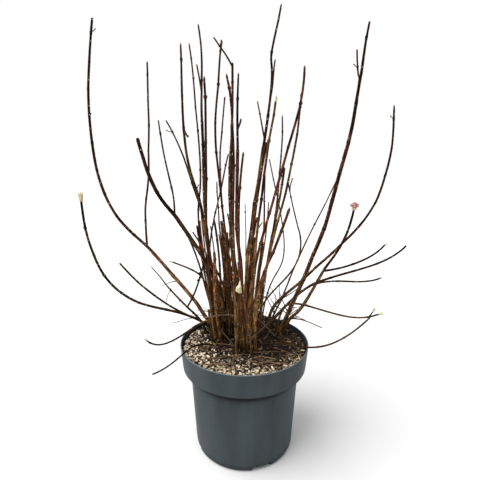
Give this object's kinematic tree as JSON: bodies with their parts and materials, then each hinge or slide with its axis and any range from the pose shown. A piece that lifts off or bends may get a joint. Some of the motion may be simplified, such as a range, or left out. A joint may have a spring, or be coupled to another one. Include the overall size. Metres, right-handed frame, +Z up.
{
  "type": "potted multi-stemmed winter shrub",
  "caption": "Deciduous flowering shrub in bare winter wood: long whippy canes rise as one open clump from bark compost in a round ribbed-foot nursery pot.",
  "frame": {"origin": "middle of the pot's flat underside, on the surface that it stands on", "axes": "+Z up along the pot's axis; +X to the right and -Y towards the viewer of the picture"},
  "size_m": [0.7507, 0.5814, 0.9203],
  "materials": {
    "pot": "dark slate-grey moulded plastic, satin, faintly scuffed and mottled",
    "soil": "rough bark compost with pale wood chips",
    "cane_bark": "matt ribbed brown and olive bark with pale pores",
    "twig_bark": "satin dark red-brown young bark with small buds"
  },
  "bodies": {
    "root": {"pot": "pot", "soil": "soil", "cane_left_tall": "cane_bark", "cane_left_stout": "cane_bark", "cane_left_leaning": "cane_bark", "cane_left_sweeping": "cane_bark", "cane_left_short": "cane_bark", "cane_left_slim": "cane_bark", "cane_left_upright": "cane_bark", "cane_left_green_bud": "cane_bark", "cane_left_low": "cane_bark", "cane_over_rim_back_left": "cane_bark", "cane_over_rim_front_left": "cane_bark", "cane_middle_left": "cane_bark", "cane_middle_forward_left": "cane_bark", "cane_middle_crossing": "cane_bark", "cane_middle_bowed": "cane_bark", "cane_middle_back_left": "cane_bark", "cane_middle_hidden": "cane_bark", "cane_middle_elbow": "cane_bark", "cane_middle_between": "cane_bark", "cane_middle_front": "cane_bark", "cane_middle_forward": "cane_bark", "cane_middle_foremost": "cane_bark", "cane_middle_whip": "cane_bark", "cane_middle_big_bud": "cane_bark", "cane_back_left": "cane_bark", "cane_back_right": "cane_bark", "cane_right_tallest": "cane_bark", "cane_right_beside": "cane_bark", "cane_right_forward": "cane_bark", "cane_right_back_short": "cane_bark", "cane_right_thin_arch": "cane_bark", "cane_right_back_tall": "cane_bark", "cane_right_front_tall": "cane_bark", "cane_right_second": "cane_bark", "cane_right_budded": "cane_bark", "cane_right_swollen": "cane_bark", "cane_right_arch": "cane_bark", "cane_right_slim": "cane_bark", "cane_right_stout": "cane_bark", "cane_right_wide": "cane_bark", "cane_right_blossom": "cane_bark", "cane_right_low": "cane_bark", "cane_right_lowest": "cane_bark", "cane_over_rim_right": "cane_bark", "twigs_left_tall": "twig_bark", "twigs_left_stout": "twig_bark", "twigs_left_leaning": "twig_bark", "twigs_left_low": "twig_bark", "twigs_middle_left": "twig_bark", "twigs_middle_elbow": "twig_bark", "twigs_middle_front": "twig_bark", "twigs_right_tallest": "twig_bark", "twigs_right_arch": "twig_bark", "twigs_right_stout": "twig_bark", "twigs_right_wide": "twig_bark", "twigs_right_blossom": "twig_bark", "twigs_right_low": "twig_bark", "twigs_right_lowest": "twig_bark"}
  },
  "joints": []
}
